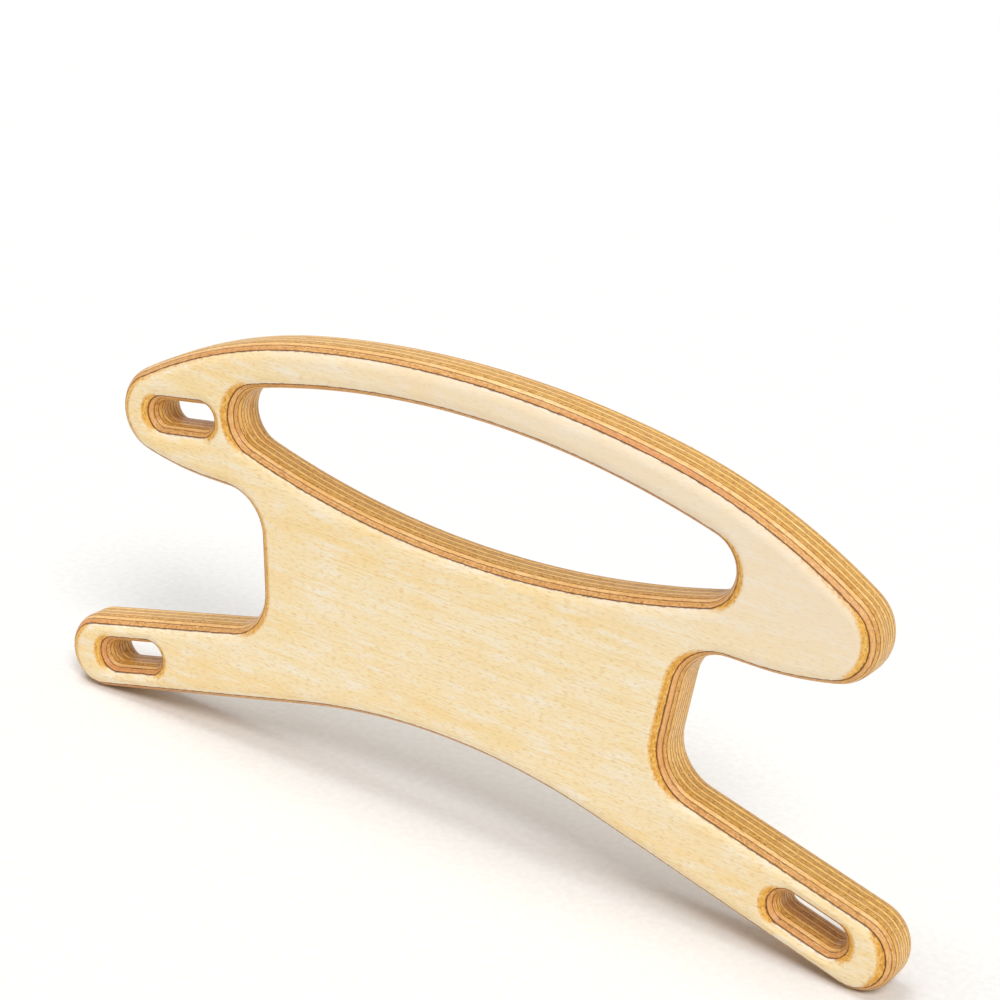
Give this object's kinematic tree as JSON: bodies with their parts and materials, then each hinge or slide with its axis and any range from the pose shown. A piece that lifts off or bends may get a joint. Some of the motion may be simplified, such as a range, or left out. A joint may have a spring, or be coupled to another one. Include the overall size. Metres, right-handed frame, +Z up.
{
  "type": "line winder",
  "caption": "Flat plywood hand winder for fishing line or cord: an arched hand grip over a narrow waist that holds the turns, with slots in the horns that take the line's end.",
  "frame": {"origin": "on the floor under the middle of the panel, which stands upright on its two leg ends", "axes": "+X along the winder's length, towards the plain horn; +Y through its thickness, towards the back face; +Z up, towards the hand grip"},
  "size_m": [0.3144, 0.018, 0.1506],
  "materials": {
    "face_veneer": "satin clear varnish over pale birch",
    "long_veneer": "satin clear varnish, edge of birch veneer with its grain along X",
    "cross_veneer": "satin clear varnish, edge of birch veneer with its grain along Z",
    "core_veneers": "satin clear varnish, edges of five birch veneers by turns light and brown",
    "resin": "cured dark phenolic resin"
  },
  "bodies": {
    "root": {"face_veneer_front": "face_veneer", "cross_veneer_02": "cross_veneer", "long_veneer_03": "long_veneer", "cross_veneer_04": "cross_veneer", "core_veneers": "core_veneers", "cross_veneer_10": "cross_veneer", "long_veneer_11": "long_veneer", "cross_veneer_12": "cross_veneer", "face_veneer_back": "face_veneer"}
  },
  "joints": []
}
